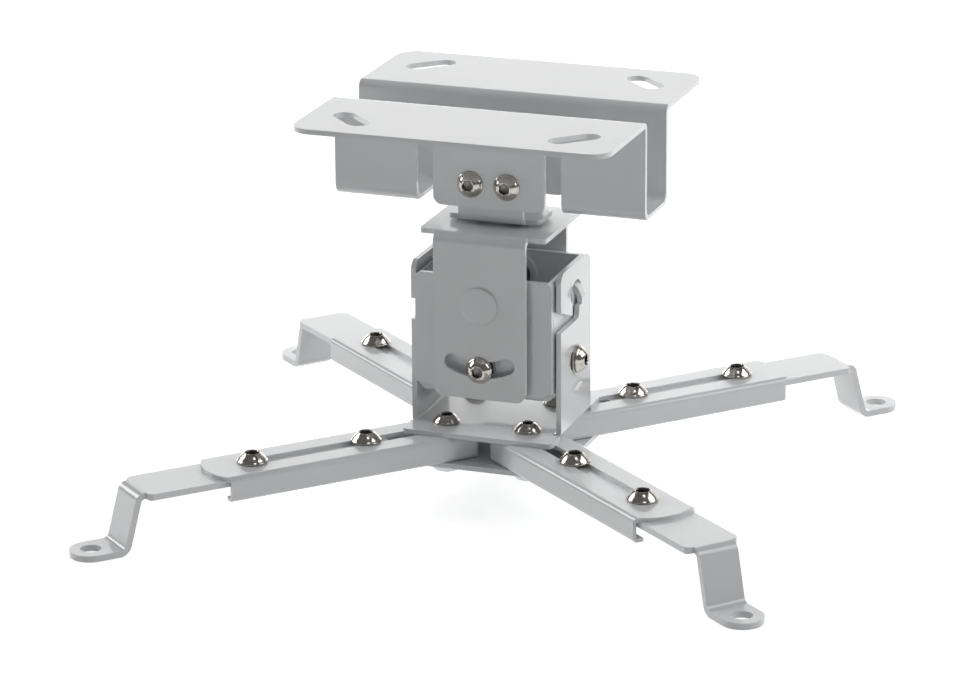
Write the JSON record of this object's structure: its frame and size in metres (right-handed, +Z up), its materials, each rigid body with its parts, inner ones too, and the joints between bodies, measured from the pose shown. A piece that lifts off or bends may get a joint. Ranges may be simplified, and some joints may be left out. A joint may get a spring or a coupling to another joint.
{
  "type": "projector ceiling mount",
  "caption": "Folded steel ceiling mount for a projector: slotted ceiling channel, swivel, tilt yoke and box, roll yoke, and sliding arms that swing and end in stepped feet.",
  "frame": {"origin": "centre of the four fixing slots in the plane of the ceiling face, on the swivel axis", "axes": "+Z up through the ceiling face, +X along the channel to the right, -Y to the front"},
  "size_m": [0.279, 0.2739, 0.1533],
  "materials": {
    "white_paint": "smooth glossy pale grey-white powder coat",
    "bright_nickel": "polished nickel plate on the screws that show",
    "zinc_plate": "bright zinc plate",
    "white_nylon": "plain nylon",
    "black_nylon": "moulded black nylon"
  },
  "bodies": {
    "ceiling": {"ceiling_plate": "white_paint", "swivel_bracket": "white_paint", "tab_screws": "bright_nickel", "tab_nuts": "zinc_plate", "swivel_slip_washer": "white_nylon", "swivel_plain_washer": "zinc_plate", "swivel_bolt": "zinc_plate", "swivel_nut": "zinc_plate"},
    "yoke": {"tilt_yoke": "white_paint", "tilt_rivet_front": "white_paint", "tilt_rivet_rear": "white_paint", "tilt_spacer_front": "white_nylon", "tilt_spacer_rear": "white_nylon", "rivet_washer_front": "white_paint", "rivet_washer_rear": "white_paint", "rivet_cap_front": "black_nylon", "rivet_cap_rear": "black_nylon"},
    "box": {"tilt_box": "white_paint", "tilt_lock_screw_front": "bright_nickel", "tilt_lock_screw_rear": "bright_nickel", "tilt_lock_sleeve_front": "zinc_plate", "tilt_lock_sleeve_rear": "zinc_plate", "tilt_lock_nut_front": "zinc_plate", "tilt_lock_nut_rear": "zinc_plate", "side_lock_screw_left": "bright_nickel", "side_lock_screw_right": "bright_nickel", "side_lock_plain_washer_left": "bright_nickel", "side_lock_plain_washer_right": "bright_nickel", "side_lock_washer_left": "white_nylon", "side_lock_washer_right": "white_nylon", "side_lock_nut_left": "zinc_plate", "side_lock_nut_right": "zinc_plate"},
    "base": {"base_yoke": "white_paint", "clamp_plate": "white_paint", "pivot_screws": "bright_nickel", "pivot_nuts": "zinc_plate"},
    "channel_front_left": {"arm_channel_front_left": "white_paint"},
    "bar_front_left": {"arm_bar_front_left": "white_paint", "arm_screws_front_left": "bright_nickel", "arm_nuts_front_left": "zinc_plate"},
    "channel_front_right": {"arm_channel_front_right": "white_paint"},
    "bar_front_right": {"arm_bar_front_right": "white_paint", "arm_screws_front_right": "bright_nickel", "arm_nuts_front_right": "zinc_plate"},
    "channel_back_right": {"arm_channel_back_right": "white_paint"},
    "bar_back_right": {"arm_bar_back_right": "white_paint", "arm_screws_back_right": "bright_nickel", "arm_nuts_back_right": "zinc_plate"},
    "channel_back_left": {"arm_channel_back_left": "white_paint"},
    "bar_back_left": {"arm_bar_back_left": "white_paint", "arm_screws_back_left": "bright_nickel", "arm_nuts_back_left": "zinc_plate"}
  },
  "joints": [
    {"name": "pan", "type": "hinge", "parent": "ceiling", "child": "yoke", "pos_m": [0, 0, -0.0469], "axis": [0, 0, 1], "continuous": true},
    {"name": "tilt", "type": "hinge", "parent": "yoke", "child": "box", "pos_m": [0, 0, -0.07475], "axis": [0, 1, 0], "range_deg": [-24, 24]},
    {"name": "roll", "type": "hinge", "parent": "box", "child": "base", "pos_m": [0, 0, -0.0705], "axis": [1, 0, 0], "range_deg": [-5, 5]},
    {"name": "swing_front_left", "type": "hinge", "parent": "base", "child": "channel_front_left", "pos_m": [-0.0167, -0.0172, -0.1329], "axis": [0, 0, 1], "range_deg": [-47.6, 42.4]},
    {"name": "slide_front_left", "type": "slide", "parent": "channel_front_left", "child": "bar_front_left", "axis": [-0.6743, -0.7385, 0], "range_m": [-0.01, 0]},
    {"name": "swing_front_right", "type": "hinge", "parent": "base", "child": "channel_front_right", "pos_m": [0.0167, -0.0172, -0.1329], "axis": [0, 0, 1], "range_deg": [-49.7, 40.3]},
    {"name": "slide_front_right", "type": "slide", "parent": "channel_front_right", "child": "bar_front_right", "axis": [0.7627, -0.6468, 0], "range_m": [-0.01, 0]},
    {"name": "swing_back_right", "type": "hinge", "parent": "base", "child": "channel_back_right", "pos_m": [0.0167, 0.0172, -0.1329], "axis": [0, 0, 1], "range_deg": [-48.1, 41.9]},
    {"name": "slide_back_right", "type": "slide", "parent": "channel_back_right", "child": "bar_back_right", "axis": [0.6678, 0.7443, 0], "range_m": [-0.01, 0]},
    {"name": "swing_back_left", "type": "hinge", "parent": "base", "child": "channel_back_left", "pos_m": [-0.0167, 0.0172, -0.1329], "axis": [0, 0, 1], "range_deg": [-49.5, 40.5]},
    {"name": "slide_back_left", "type": "slide", "parent": "channel_back_left", "child": "bar_back_left", "axis": [-0.7604, 0.6494, 0], "range_m": [-0.01, 0]}
  ]
}
